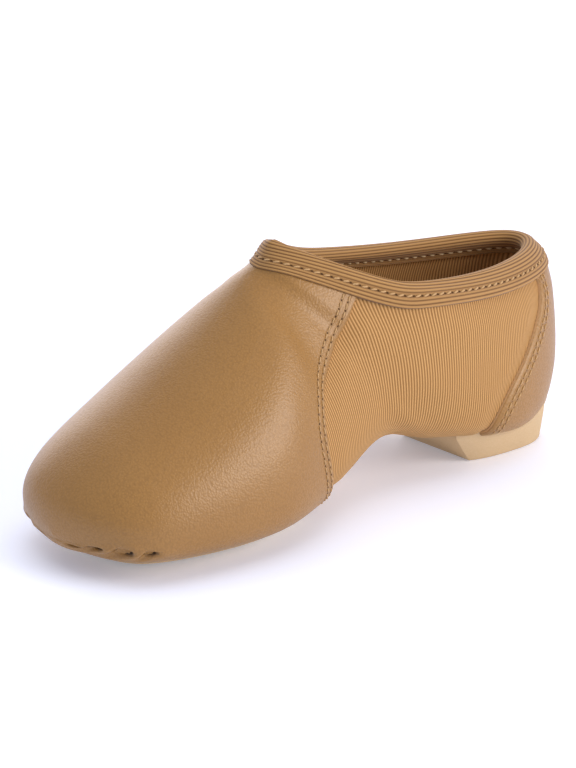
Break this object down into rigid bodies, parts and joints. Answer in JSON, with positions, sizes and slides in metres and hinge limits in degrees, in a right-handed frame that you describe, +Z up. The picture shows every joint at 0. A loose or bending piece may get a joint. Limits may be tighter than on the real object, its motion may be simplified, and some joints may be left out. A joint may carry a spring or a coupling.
{
  "type": "jazz shoe",
  "caption": "Child's slip-on jazz shoe, right foot, with a leather vamp and heel counter over ribbed stretch fabric, an elastic collar binding and a split sole with a low heel.",
  "frame": {"origin": "on the floor under the middle of the shoe's length and width", "axes": "+X from the heel to the toe, +Y to the wearer's left, +Z up"},
  "size_m": [0.154, 0.0582, 0.0649],
  "materials": {
    "stretch_fabric": "golden tan rib knit, matte",
    "tan_leather": "smooth tan leather with a fine grain, satin",
    "binding_tape": "tan ribbed elastic tape, matte",
    "sole_suede": "pale tan suede, matte",
    "heel_foam": "pale beige rubber foam, matte",
    "insole_cloth": "tan brushed cloth, matte"
  },
  "bodies": {
    "root": {"upper": "stretch_fabric", "vamp": "tan_leather", "heel_counter": "tan_leather", "collar_binding": "binding_tape", "forefoot_outsole": "sole_suede", "heel": "heel_foam", "insole": "insole_cloth"}
  },
  "joints": []
}
